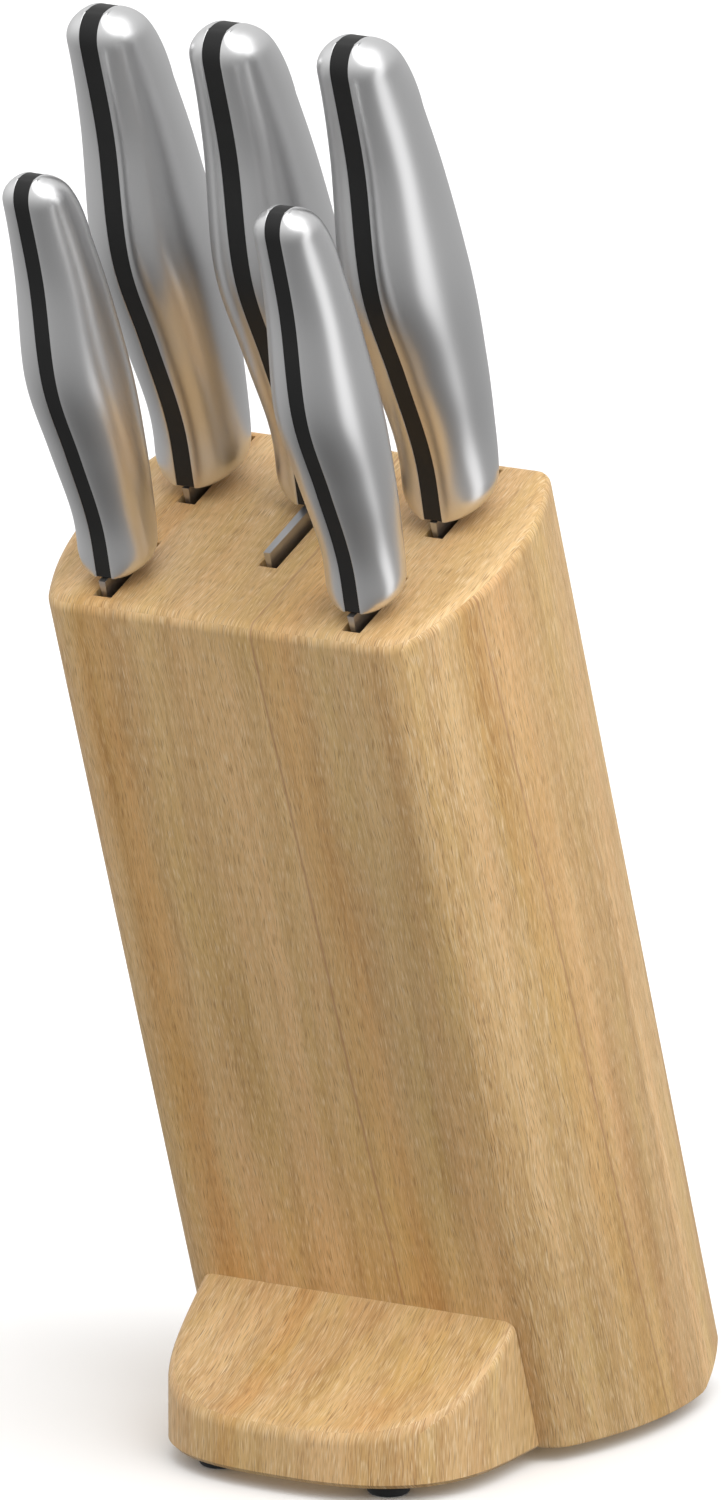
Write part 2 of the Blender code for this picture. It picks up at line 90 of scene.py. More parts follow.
def extendRow(form, row, points, closed=False):
    # extrudes the row's edges and puts the new row on the given points
    made = bmesh.ops.extrude_edge_only(form, edges=rowEdges(form, row, closed))["geom"]
    fresh = set(vertsOf(made))
    newRow = []
    for vert in row:
        others = [edge.other_vert(vert) for edge in vert.link_edges]
        newRow.append(next(other for other in others if other in fresh))
    for vert, point in zip(newRow, points):
        vert.co = point
    return newRow


def cutAway(form, point, direction, fill=True):
    # removes what lies past the plane and closes the cut, or with fill off only marks the line
    everything = form.verts[:] + form.edges[:] + form.faces[:]
    cut = bmesh.ops.bisect_plane(
        form, geom=everything, plane_co=point, plane_no=direction, clear_outer=fill, dist=1e-8,
    )
    if fill:
        rim = [item for item in cut["geom_cut"] if isinstance(item, bmesh.types.BMEdge)]
        bmesh.ops.edgeloop_fill(form, edges=rim)


def bevelEdges(form, edges, offset, segments):
    bmesh.ops.bevel(
        form, geom=edges, offset=offset, offset_type="OFFSET", segments=segments,
        profile=0.5, affect="EDGES", material=-1, clamp_overlap=True,
    )


def spunPiece(profile, centre, steps, closed):
    # a profile of (radius, height) turned round a vertical line
    form = bmesh.new()
    row = startRow(form, [(centre[0] + radius, centre[1], height) for radius, height in profile], closed)
    geom = row + rowEdges(form, row, closed)
    bmesh.ops.spin(
        form, geom=geom, cent=(centre[0], centre[1], 0.0), axis=(0, 0, 1), dvec=(0, 0, 0),
        angle=math.radians(360), steps=steps, use_merge=True, use_duplicate=False, use_normal_flip=False,
    )
    return form


# material helpers

def addNode(tree, kind, sockets=None, **settings):
    node = tree.nodes.new(kind)
    for name, value in settings.items():
        setattr(node, name, value)
    for name, value in (sockets or {}).items():
        if isinstance(value, bpy.types.NodeSocket):
            tree.links.new(value, node.inputs[name])
        else:
            node.inputs[name].default_value = value
    return node


def maths(tree, operation, *values):
    node = addNode(tree, "ShaderNodeMath", dict(enumerate(values)), operation=operation)
    return node.outputs[0]


def vectorMaths(tree, operation, first, second):
    node = addNode(tree, "ShaderNodeVectorMath", {0: first, 1: second}, operation=operation)
    return node.outputs["Value" if operation == "DOT_PRODUCT" else "Vector"]


def splitAxes(tree, vector):
    return addNode(tree, "ShaderNodeSeparateXYZ", {0: vector}).outputs


def mixValue(tree, share, first, second):
    return addNode(tree, "ShaderNodeMix", {0: share, 2: first, 3: second}).outputs[0]


def rangeNode(tree, value, low, high, first=0.0, last=1.0, blend="SMOOTHSTEP"):
    sockets = {0: value, 1: low, 2: high, 3: first, 4: last}
    return addNode(tree, "ShaderNodeMapRange", sockets, interpolation_type=blend).outputs[0]


def rampNode(tree, value, stops):
    node = addNode(tree, "ShaderNodeValToRGB", {"Fac": value})
    ramp = node.color_ramp
    while len(ramp.elements) < len(stops):
        ramp.elements.new(0.5)
    for element, (place, tone) in zip(ramp.elements, stops):
        element.position = place
        element.color = (*tone, 1.0) if isinstance(tone, tuple) else (tone, tone, tone, 1.0)
    return node.outputs["Color"]


def mixColour(tree, share, first, second, blend="MIX"):
    node = addNode(tree, "ShaderNodeMix", data_type="RGBA", blend_type=blend)
    for index, value in ((0, share), (6, first), (7, second)):
        if isinstance(value, bpy.types.NodeSocket):
            tree.links.new(value, node.inputs[index])
        else:
            node.inputs[index].default_value = value if index == 0 else (*value, 1.0)
    return node.outputs[2]


def newGroup(name, inputs, outputs):
    group = bpy.data.node_groups.new(name, "ShaderNodeTree")
    for label, kind, value in inputs:
        socket = group.interface.new_socket(label, in_out="INPUT", socket_type=kind)
        if value is not None:
            socket.default_value = value
    for label, kind in outputs:
        group.interface.new_socket(label, in_out="OUTPUT", socket_type=kind)
    start = group.nodes.new("NodeGroupInput")
    end = group.nodes.new("NodeGroupOutput")
    return group, start, end


def stretchedNoise(tree, place, scales, detail, roughness=0.5, distortion=0.0):
    # noise whose cells are 1/scale long on each axis, per metre
    sockets = {
        "Vector": vectorMaths(tree, "MULTIPLY", place, scales), "Scale": 1.0, "Detail": detail,
        "Roughness": roughness, "Distortion": distortion,
    }
    return addNode(tree, "ShaderNodeTexNoise", sockets).outputs[0]


def startMaterial(name):
    material = bpy.data.materials.new(name)
    material.use_nodes = True
    tree = material.node_tree
    return material, tree, tree.nodes["Principled BSDF"]


def addBump(tree, shader, height, strength, distance):
    bump = addNode(tree, "ShaderNodeBump", {"Strength": strength, "Distance": distance, "Height": height})
    tree.links.new(bump.outputs[0], shader.inputs["Normal"])


def turnedPlace(tree, coords, turn, place=(0.0, 0.0, 0.0)):
    # the piece's points with the grain upright: turned back by turn, counted from place
    mapping = addNode(tree, "ShaderNodeMapping", {"Vector": coords.outputs["Object"]}, vector_type="TEXTURE")
    mapping.inputs["Location"].default_value = place
    mapping.inputs["Rotation"].default_value = (turn, 0.0, 0.0)
    return mapping.outputs[0]


woodLook = {
    "joint": (0.40, 0.190, 0.090),
    "pore": (0.33, 0.175, 0.062),
    "fibre": (0.86, 0.66, 0.40),
    "density": (0.35, 1.1),  # of fibres and pores: least, and how much the streaks add
    "fibreHeight": 0.6,
    "waver": 0.0022,  # how far the streaks wander sideways
    # painted shade in the knife slots: deep down, their walls are multiplied by this grey
    "paintedSlotShade": 0.22,
    "paintedShadeDepths": (-0.0003, -0.004),  # where the painted shade in a slot begins and where it is full, below the top
    "slotMargin": 0.0001,
    "sideways": 0.70,  # past this share of x a surface counts as a side
    "upward": 0.72,  # past this share of the grain's direction it counts as a top or an underside
    "jointSwing": 0.0016,
    "bandSwing": 0.009,
    "bandEdge": (0.35, 1.25),  # where a band starts and stops fading, in half widths
    "bandPatches": (0.2, 1.6),  # least, and how much the patches add
    "roughness": (0.32, 0.26),  # least, and how much the pores add
    "bumpStrength": 0.25,
    "bumpDepth": 0.0002,
}
white = (1.0, 1.0, 1.0)
# how each noise becomes a brown, a tint or a share
woodRamps = {
    "broad": ((0.32, (0.575, 0.350, 0.138)), (0.48, (0.685, 0.440, 0.190)), (0.66, (0.775, 0.512, 0.236))),
    "drift": ((0.34, (0.99, 1.01, 0.91)), (0.50, white), (0.66, (1.015, 0.978, 0.985))),  # olive to rose
    "cloud": ((0.32, (0.95, 0.92, 0.88)), (0.52, white), (0.72, (1.04, 1.04, 1.05))),
    "streak": ((0.30, (0.86, 0.82, 0.76)), (0.50, white), (0.70, (1.07, 1.07, 1.08))),
    "fibre": ((0.50, 0.0), (0.72, 0.80)),
    "pore": ((0.52, 0.0), (0.74, 0.85)),
}
# noise in the wood: cells per metre across, behind and along the grain, then detail, roughness, distortion
woodNoise = {
    "waver": ((55.0, 55.0, 48.0), 1.0),
    "broad": ((115.0, 62.0, 6.0), 3.0, 0.55, 0.15),
    "drift": ((88.0, 88.0, 9.0), 2.0, 0.55, 0.4),
    "cloud": ((60.0, 60.0, 18.0), 2.0, 0.5, 0.1),
    "streak": ((760.0, 110.0, 15.0), 3.0, 0.62),
    "fibre": ((4600.0, 260.0, 260.0), 1.0, 0.5),
    "pore": ((5200.0, 240.0, 240.0), 1.0, 0.5),
    "wobble": ((5.0, 5.0, 14.0), 2.0),
    "patchy": ((160.0, 160.0, 14.0), 3.0, 0.6),
}


def makeWoodGroup():
    # grain along z: Facing 0 reads x across the grain, 1 reads y; Lying 1 turns the grain to run along y
    group, start, end = newGroup(
        "woodGrain",
        [
            ("Place", "NodeSocketVector", None), ("Facing", "NodeSocketFloat", 0.0),
            ("Lying", "NodeSocketFloat", 0.0), ("Tone", "NodeSocketFloat", 1.0),
            ("Joint", "NodeSocketFloat", 0.0),
        ],
        [("Color", "NodeSocketColor"), ("Roughness", "NodeSocketFloat"), ("Height", "NodeSocketFloat")],
    )
    place = start.outputs["Place"]
    axes = splitAxes(group, place)
    facing, lying = start.outputs["Facing"], start.outputs["Lying"]
    waver = maths(group, "SUBTRACT", stretchedNoise(group, place, *woodNoise["waver"]), 0.5)
    across = maths(group, "MULTIPLY_ADD", waver, woodLook["waver"], mixValue(group, facing, axes[0], axes[1]))
    behind = mixValue(group, lying, mixValue(group, facing, axes[1], axes[0]), axes[2])
    along = mixValue(group, lying, axes[2], axes[1])
    turned = addNode(group, "ShaderNodeCombineXYZ", {0: across, 1: behind, 2: along}).outputs[0]
    noise = {}
    for part in ("broad", "drift", "cloud", "streak", "fibre", "pore"):
        noise[part] = stretchedNoise(group, turned, *woodNoise[part])
    # tone in long soft streaks, drifting between olive and rose
    tone = rampNode(group, noise["broad"], woodRamps["broad"])
    for part in ("drift", "cloud", "streak"):
        tint = rampNode(group, noise[part], woodRamps[part])
        tone = mixColour(group, 1.0, tone, tint, "MULTIPLY")
    # short fibres and pores, denser in some streaks than in others
    least, added = woodLook["density"]
    dense = maths(group, "MULTIPLY_ADD", noise["streak"], added, least)
    masks = {}
    for part in ("fibre", "pore"):
        masks[part] = maths(group, "MULTIPLY", rampNode(group, noise[part], woodRamps[part]), dense)
        tone = mixColour(group, masks[part], tone, woodLook[part])
    tone = mixColour(group, start.outputs["Joint"], tone, woodLook["joint"])
    grey = addNode(group, "ShaderNodeCombineXYZ", {axis: start.outputs["Tone"] for axis in range(3)})
    least, added = woodLook["roughness"]
    raised = maths(group, "MULTIPLY", noise["fibre"], woodLook["fibreHeight"])
    results = {
        "Color": vectorMaths(group, "MULTIPLY", tone, grey.outputs[0]),
        "Roughness": maths(group, "MULTIPLY_ADD", noise["pore"], added, least),
        "Height": maths(group, "MULTIPLY_ADD", masks["pore"], -1.0, raised),
    }
    for label, socket in results.items():
        group.links.new(socket, end.inputs[label])
    return group


woodGroup = makeWoodGroup()


def awayFrom(tree, axes, axis, at, slope, wobble, swing):
    # how far a point lies from a wavering line that slopes as it runs along the grain
    line = maths(tree, "MULTIPLY_ADD", axes[2], -slope, maths(tree, "SUBTRACT", axes[axis], at))
    return maths(tree, "ABSOLUTE", maths(tree, "MULTIPLY_ADD", wobble, swing, line))


def slotInside(tree, axes, u, span):
    # 1 between the walls of a knife slot, 0 elsewhere: where the slots' painted shade goes
    margin = woodLook["slotMargin"]
    away = maths(tree, "ABSOLUTE", maths(tree, "SUBTRACT", axes[0], u))
    inside = maths(tree, "LESS_THAN", away, slots["width"] / 2 + margin)
    for operation, value in (("GREATER_THAN", span[0] - margin), ("LESS_THAN", span[1] + margin)):
        inside = maths(tree, "MULTIPLY", inside, maths(tree, operation, axes[1], value))
    return inside


def makeWood(name, tone, turn, place, joints=(), bands=(), shadedSlots=()):
    # joints: (axis, place, slope, half width, strength) of lines between staves, in the grain's own frame
    # bands: (axis, place, slope, half width, colour) of broad darker or warmer stripes
    # shadedSlots: (place, span) of knife slots, whose walls get painted shade below the top, darker deeper
    # down
    material, tree, shader = startMaterial(name)
    coords = addNode(tree, "ShaderNodeTexCoord")
    grainPlace = turnedPlace(tree, coords, turn, place)
    sideways = splitAxes(tree, coords.outputs["Normal"])[0]
    facing = maths(tree, "GREATER_THAN", maths(tree, "ABSOLUTE", sideways), woodLook["sideways"])
    frontal = maths(tree, "SUBTRACT", 1.0, facing)
    along = (0.0, -math.sin(turn), math.cos(turn))
    upward = vectorMaths(tree, "DOT_PRODUCT", coords.outputs["Normal"], along)
    lying = maths(tree, "GREATER_THAN", maths(tree, "ABSOLUTE", upward), woodLook["upward"])
    axes = splitAxes(tree, grainPlace)
    wobble = maths(tree, "SUBTRACT", stretchedNoise(tree, grainPlace, *woodNoise["wobble"]), 0.5)
    grain = addNode(tree, "ShaderNodeGroup", node_tree=woodGroup)
    grain.inputs["Tone"].default_value = tone
    for label, socket in (("Place", grainPlace), ("Facing", facing), ("Lying", lying)):
        tree.links.new(socket, grain.inputs[label])
    joint = None
    for axis, at, slope, width, strength in joints:
        away = awayFrom(tree, axes, axis, at, slope, wobble, woodLook["jointSwing"])
        line = maths(tree, "SUBTRACT", 1.0, maths(tree, "DIVIDE", away, width))
        line = maths(tree, "MULTIPLY", maths(tree, "MAXIMUM", line, 0.0), strength)
        line = maths(tree, "MULTIPLY", line, facing if axis == 1 else frontal)
        joint = line if joint is None else maths(tree, "MAXIMUM", joint, line)
    if joint is not None:
        tree.links.new(joint, grain.inputs["Joint"])
    colour = grain.outputs["Color"]
    if bands:
        least, added = woodLook["bandPatches"]
        patchy = stretchedNoise(tree, grainPlace, *woodNoise["patchy"])
        patchy = maths(tree, "MULTIPLY_ADD", patchy, added, least)
    for axis, at, slope, width, hue in bands:
        away = awayFrom(tree, axes, axis, at, slope, wobble, woodLook["bandSwing"])
        full, gone = (share * width for share in woodLook["bandEdge"])
        share = maths(tree, "MULTIPLY", rangeNode(tree, away, full, gone, 1.0, 0.0), patchy)
        share = maths(tree, "MINIMUM", maths(tree, "MULTIPLY", share, facing if axis == 1 else frontal), 1.0)
        colour = mixColour(tree, share, colour, mixColour(tree, 1.0, colour, hue, "MULTIPLY"))
    # painted shade: the slot walls are darkened more the deeper they lie, in place of the shade inside the
    # slots
    if shadedSlots:
        inside = None
        for u, span in shadedSlots:
            one = slotInside(tree, axes, u, span)
            inside = one if inside is None else maths(tree, "MAXIMUM", inside, one)
        shadeByDepth = rangeNode(tree, axes[2], *woodLook["paintedShadeDepths"], blend="LINEAR")
        paintedShade = mixColour(tree, 1.0, colour, (woodLook["paintedSlotShade"],) * 3, "MULTIPLY")
        colour = mixColour(tree, maths(tree, "MULTIPLY", inside, shadeByDepth), colour, paintedShade)
    tree.links.new(colour, shader.inputs["Base Color"])
    tree.links.new(grain.outputs["Roughness"], shader.inputs["Roughness"])
    addBump(tree, shader, grain.outputs["Height"], woodLook["bumpStrength"], woodLook["bumpDepth"])
    return material


steels = {
    "handleSteel": {
        "colour": (0.75, 0.75, 0.752), "roughness": 0.31,
        "lines": (4200.0, 4200.0, 300.0), "amount": 0.03, "bump": 0.0000003,
    },
    "bladeSteel": {
        "colour": (0.52, 0.52, 0.53), "roughness": 0.36,
        "lines": (60.0, 60.0, 2200.0), "amount": 0.12, "bump": 0.000012,
    },
    "screwSteel": {
        "colour": (0.55, 0.56, 0.58), "roughness": 0.32,
        "lines": (400.0, 400.0, 400.0), "amount": 0.1, "bump": 0.00001,
    },
}
steelShared = {"cloud": 60.0, "cloudAmount": 0.02, "toneAmount": 0.03, "bumpStrength": 0.2}


def makeSteelGroup():
    # fine brushing: Lines gives the cells per metre on each axis, Amount how much they change the gloss
    group, start, end = newGroup(
        "brushedSteel",
        [
            ("Place", "NodeSocketVector", None), ("Lines", "NodeSocketVector", (900.0, 900.0, 60.0)),
            ("Base", "NodeSocketFloat", 0.28), ("Amount", "NodeSocketFloat", 0.10),
        ],
        [("Tone", "NodeSocketFloat"), ("Roughness", "NodeSocketFloat"), ("Height", "NodeSocketFloat")],
    )
    place, amount, base = (start.outputs[label] for label in ("Place", "Amount", "Base"))
    lines = stretchedNoise(group, place, start.outputs["Lines"], 3.0, 0.6)
    cloud = stretchedNoise(group, place, (steelShared["cloud"],) * 3, 3.0)
    signed = maths(group, "SUBTRACT", lines, 0.5)
    cloudy = maths(group, "SUBTRACT", cloud, 0.5)
    rough = maths(group, "MULTIPLY_ADD", signed, amount, base)
    rough = maths(group, "MULTIPLY_ADD", cloudy, steelShared["cloudAmount"], rough)
    group.links.new(rough, end.inputs["Roughness"])
    group.links.new(maths(group, "MULTIPLY_ADD", signed, steelShared["toneAmount"], 1.0), end.inputs["Tone"])
    group.links.new(lines, end.inputs["Height"])
    return group


steelGroup = makeSteelGroup()


def makeSteel(name, turn=0.0):
    look = steels[name]
    material, tree, shader = startMaterial(name)
    coords = addNode(tree, "ShaderNodeTexCoord")
    brushed = addNode(tree, "ShaderNodeGroup", node_tree=steelGroup)
    tree.links.new(turnedPlace(tree, coords, turn), brushed.inputs["Place"])
    for label, value in (("Lines", "lines"), ("Base", "roughness"), ("Amount", "amount")):
        brushed.inputs[label].default_value = look[value]
    tint = vectorMaths(tree, "MULTIPLY", look["colour"], brushed.outputs["Tone"])
    tree.links.new(tint, shader.inputs["Base Color"])
    tree.links.new(brushed.outputs["Roughness"], shader.inputs["Roughness"])
    addBump(tree, shader, brushed.outputs["Height"], steelShared["bumpStrength"], look["bump"])
    shader.inputs["Metallic"].default_value = 1.0
    return material


darks = {
    "coreBlack": {"colour": (0.010, 0.010, 0.010), "roughness": 0.50, "grain": 5000.0, "bump": 0.00002},
    "padRubber": {"colour": (0.010, 0.010, 0.011), "roughness": 0.70, "grain": 2500.0, "bump": 0.00008},
}
darkShared = {
    "tones": ((0.3, 0.85), (0.7, 1.15)),  # how uneven the colour is
    "patches": 120.0,
    "glossAmount": 0.2,
    "bumpStrength": 0.3,
    "specular": 0.4,
}


def makeDark(name):
    # moulded plastic and rubber with a fine grain and slightly uneven tone
    look = darks[name]
    material, tree, shader = startMaterial(name)
    place = addNode(tree, "ShaderNodeTexCoord").outputs["Object"]
    fine = stretchedNoise(tree, place, (look["grain"],) * 3, 3.0, 0.6)
    broad = stretchedNoise(tree, place, (darkShared["patches"],) * 3, 2.0)
    stops = [(at, tuple(share * part for part in look["colour"])) for at, share in darkShared["tones"]]
    tree.links.new(rampNode(tree, broad, stops), shader.inputs["Base Color"])
    amount = darkShared["glossAmount"]
    rough = maths(tree, "MULTIPLY_ADD", fine, amount, look["roughness"] - amount / 2)
    tree.links.new(rough, shader.inputs["Roughness"])
    addBump(tree, shader, fine, darkShared["bumpStrength"], look["bump"])
    shader.inputs["Specular IOR Level"].default_value = darkShared["specular"]
    return material


footWood = makeWood(
    "footWood", 0.94, 0.0, (0.013, 0.31, 0.07),
    bands=((0, -0.0265, 0.0, 0.0035, (0.96, 0.87, 0.74)), (0, 0.0080, 0.0, 0.0045, (0.98, 0.94, 0.88))),
)
dowelWood = makeWood("dowelWood", 1.0, math.radians(110), (0.05, 0.1, 0.0))  # grain along the dowels
handleSteel = makeSteel("handleSteel", lean["angle"])
bladeSteel = makeSteel("bladeSteel", lean["angle"])
screwSteel = makeSteel("screwSteel")
coreBlack = makeDark("coreBlack")
padRubber = makeDark("padRubber")
print("materials made")


# block

block = {
    "depth": 0.076,
    "sideRadius": 0.0808,
    "widestHalf": 0.054,
    "cornerRadius": 0.008,
    "rearCornerRadius": 0.004,
    "squareEnd": -0.2375,  # behind the level underside, the lower end is cut square to the grain
    "topRounding": 0.003,
    "bottomRounding": 0.0009,
    "slotRounding": 0.0003,
    "sideSteps": 40,
    "cornerSteps": 10,
    "topSteps": 6,
    "softSteps": 2,  # of the underside's and the slots' edges
    "jointGap": 0.00002,  # between glued pieces
    "pastSide": 0.07,  # a cut past the widest point
    "pastBottom": 0.32,  # a length past the lower end
}
slots = {
    "width": 0.0046,
    "sideU": 0.032,
    "front": (0.0041, 0.0271),
    "rear": (0.0435, 0.0725),
    "middle": (0.0238, 0.0725),
}
boardWood = makeWood(
    "boardWood", 1.0, lean["angle"], topFront,
    joints=((0, 0.0080, -0.022, 0.0005, 0.65), (1, 0.0245, -0.047, 0.0005, 0.60)),
    bands=(
        (0, 0.0140, -0.022, 0.0050, (0.95, 0.88, 0.77)),
        (0, 0.0290, 0.0, 0.0070, (0.95, 0.96, 0.98)),
        (0, -0.0337, 0.0, 0.0054, (0.95, 0.85, 0.70)),
        (1, 0.0290, -0.047, 0.0055, (1.01, 0.95, 0.91)),
        (1, 0.0200, -0.047, 0.0045, (0.98, 0.92, 0.80)),
    ),
    shadedSlots=(
        (slots["sideU"], slots["front"]), (slots["sideU"], slots["rear"]), (0.0, slots["middle"]),
        (-slots["sideU"], slots["front"]), (-slots["sideU"], slots["rear"]),
    ),
)


def onTop(edge):
    return all(abs(vert.co.z) < near for vert in edge.verts)


def blockBlank():
    # the outline is swept by spins: front corner, bulging side, back corner
    form = bmesh.new()
    middle = block["depth"] / 2
    sideU = block["widestHalf"] - block["sideRadius"]
    corners = []
    for radius in (block["cornerRadius"], block["rearCornerRadius"]):
        reach, drop = block["sideRadius"] - radius, middle - radius
        corners.append((radius, sideU + math.sqrt(reach ** 2 - drop ** 2), math.asin(drop / reach)))
    (front, frontU, frontTilt), (rear, rearU, rearTilt) = corners
    vert = form.verts.new((frontU, 0.0, 0.0))
    sweeps = (
        ((frontU, front, 0), math.pi / 2 - frontTilt, block["cornerSteps"]),
        ((sideU, middle, 0), frontTilt + rearTilt, block["sideSteps"]),
        ((rearU, block["depth"] - rear, 0), math.pi / 2 - rearTilt, block["cornerSteps"]),
    )
    for centre, angle, steps in sweeps:
        swept = bmesh.ops.spin(form, geom=[vert], cent=centre, axis=(0, 0, 1), angle=angle, steps=steps)
        vert = vertsOf(swept["geom_last"])[0]
    bmesh.ops.mirror(form, geom=form.verts[:] + form.edges[:], axis="X", merge_dist=-1.0)
    for v in (0.0, block["depth"]):
        ends = [vert for vert in form.verts if abs(vert.co.y - v) < 1e-5]
        ends.sort(key=lambda vert: abs(vert.co.x))
        form.edges.new(ends[-2:])
    top = bmesh.ops.edgeloop_fill(form, edges=form.edges[:])["faces"]
    made = bmesh.ops.extrude_face_region(form, geom=top)["geom"]
    bmesh.ops.translate(form, verts=vertsOf(made), vec=(0, 0, -block["pastBottom"]))
    cutAway(form, leanPlace.inverted() @ Vector((0, 0, lean["bottomZ"])), down)
    bmesh.ops.recalc_face_normals(form, faces=form.faces)
    topEdges = [edge for edge in form.edges if onTop(edge)]
    bevelEdges(form, topEdges, block["topRounding"], block["topSteps"])
    base = {face for face in form.faces if face.normal.dot(down) > 0.999}
    baseEdges = [edge for edge in form.edges if base.intersection(edge.link_faces)]
    bevelEdges(form, baseEdges, block["bottomRounding"], block["softSteps"])
    cutAway(form, (0, 0, block["squareEnd"]), (0, 0, -1))
    return form


def trimTo(form, axis, low, high):
    for at, sign in ((low, -1), (high, 1)):
        if at is not None:
            point, direction = Vector((0, 0, 0)), Vector((0, 0, 0))
            point[axis], direction[axis] = at, sign
            cutAway(form, point, direction)


def roundSlotEdges(form, wallU, spans):
    # only the stretches of the top edge that border a slot are softened
    for span in spans:
        for v in span:
            cutAway(form, (0, v, 0), (0, 1, 0), fill=False)
    edges = []
    for edge in form.edges:
        mid = (edge.verts[0].co + edge.verts[1].co) / 2
        flat = onTop(edge) and all(abs(vert.co.x - wallU) < near for vert in edge.verts)
        if flat and any(low < mid.y < high for low, high in spans):
            edges.append(edge)
    bevelEdges(form, edges, block["slotRounding"], block["softSteps"])


def makeBoard(name, low, high, walls):
    form = blank.copy()
    trimTo(form, 0, low, high)
    for wallU, spans in walls:
        roundSlotEdges(form, wallU, spans)
    bmesh.ops.transform(form, matrix=leanPlace, verts=form.verts)
    finishPiece(form, name + "_wood", boardWood, "block", name)


def makeStrip(name, layerU, low, high):
    form = blank.copy()
    half = slots["width"] / 2 - block["jointGap"]
    trimTo(form, 0, layerU - half, layerU + half)
    trimTo(form, 1, low, high)
    edges = []
    for edge in form.edges:
        ends = [v for v in (low, high) if v is not None]
        if onTop(edge) and any(all(abs(vert.co.y - v) < near for vert in edge.verts) for v in ends):
            edges.append(edge)
    bevelEdges(form, edges, block["slotRounding"], block["softSteps"])
    bmesh.ops.transform(form, matrix=leanPlace, verts=form.verts)
    finishPiece(form, name + "_wood", boardWood, "block", name)


blank = blockBlank()
wall = slots["width"] / 2
for side, sign in (("left", -1), ("right", 1)):
    outer = sorted((sign * (slots["sideU"] + wall), sign * block["pastSide"]))
    inner = sorted((sign * (slots["sideU"] - wall), sign * wall))
    sideSpans = (slots["front"], slots["rear"])
    makeBoard("board_outer_" + side, *outer, [(sign * (slots["sideU"] + wall), sideSpans)])
    makeBoard("board_inner_" + side, *inner, [
        (sign * (slots["sideU"] - wall), sideSpans), (sign * wall, (slots["middle"],)),
    ])
    makeStrip("strip_front_" + side, sign * slots["sideU"], None, slots["front"][0])
    makeStrip("strip_middle_" + side, sign * slots["sideU"], slots["front"][1], slots["rear"][0])
    makeStrip("strip_rear_" + side, sign * slots["sideU"], slots["rear"][1], None)
makeStrip("strip_front_centre", 0.0, None, slots["middle"][0])
makeStrip("strip_rear_centre", 0.0, slots["middle"][1], None)
blank.free()
print("block made")


# front foot

foot = {
    "halfWidth": 0.041,
    "roundDepth": 0.0397,
    "roundPower": 2.7,
    "sideY": 0.00313,  # where the straight sides turn into the rounded front
    "backY": 0.02933,
    "frontHeight": 0.0125,
    "slope": 0.242,
    "curl": 7.7,
    "edgeRadius": 0.003,
    "baseChamfer": 0.001,
    "edgeSteps": 6,
    "outlineSteps": 26,
    "straightShares": (0.33, 0.66, 1.0),  # rows along the straight sides
}


def footHeight(y):
    back = y - (foot["sideY"] - foot["roundDepth"])
    return foot["frontHeight"] + foot["slope"] * back + foot["curl"] * back ** 2


def footOutline():
    # the right half, from the middle of the front to the back
    power = 2 / foot["roundPower"]
    points = []
    for step in range(foot["outlineSteps"] + 1):
        angle = math.pi / 2 * (1 - step / foot["outlineSteps"])
        x = foot["halfWidth"] * max(math.cos(angle), 0.0) ** power
        points.append(Vector((x, foot["sideY"] - foot["roundDepth"] * math.sin(angle) ** power)))
    points[0].x = 0.0
    for share in foot["straightShares"]:
        points.append(Vector((foot["halfWidth"], foot["sideY"] + (foot["backY"] - foot["sideY"]) * share)))
    return points


def movedIn(points, distance):
    moved = []
    for i, point in enumerate(points):
        before = points[i - 1] if i else Vector((-points[1].x, points[1].y))
        after = points[min(i + 1, len(points) - 1)]
        along = (after - before).normalized()
        moved.append(point + distance * Vector((-along.y, along.x)))
    moved[0].x = 0.0
    moved[-1].y = points[-1].y
    return moved


def wholeRow(half, height):
    # from the left back round the front to the right back
    right = [(p.x, p.y, lean["bottomZ"] + height(p.y)) for p in half]
    return [(-x, y, z) for x, y, z in reversed(right[1:])] + right


def makeFoot():
    form = bmesh.new()
    half = footOutline()
    bottom = startRow(form, wholeRow(movedIn(half, foot["baseChamfer"]), lambda y: 0.0))
    row = extendRow(form, bottom, wholeRow(half, lambda y: foot["baseChamfer"]))
    radius = foot["edgeRadius"]
    for step in range(foot["edgeSteps"] + 1):
        angle = math.pi / 2 * step / foot["edgeSteps"]
        inset = movedIn(half, radius * (1 - math.cos(angle)))
        drop = radius * (1 - math.sin(angle))
        row = extendRow(form, row, wholeRow(inset, lambda y: footHeight(y) - drop))
    tip = len(half) - 1
    left, right = row[:tip], row[tip + 1:]
    bmesh.ops.bridge_loops(form, edges=rowEdges(form, left) + rowEdges(form, right))
    bmesh.ops.contextual_create(form, geom=[row[tip - 1], row[tip], row[tip + 1]])
    bmesh.ops.contextual_create(form, geom=bottom)
    openEdges = [edge for edge in form.edges if edge.is_boundary]
    bmesh.ops.edgeloop_fill(form, edges=openEdges)
    frontNormal = leanPlace.to_3x3() @ Vector((0, 1, 0))
    cutAway(form, leanPlace @ Vector((0, -block["jointGap"], 0)), frontNormal)
    finishPiece(form, "front_foot_wood", footWood, "block", "front_foot")


makeFoot()
for side in ("left", "right"):
    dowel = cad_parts["dowel_" + side]
    dowel.data.materials.clear()
    dowel.data.materials.append(dowelWood)
print("foot made")


# rubber feet and their screws

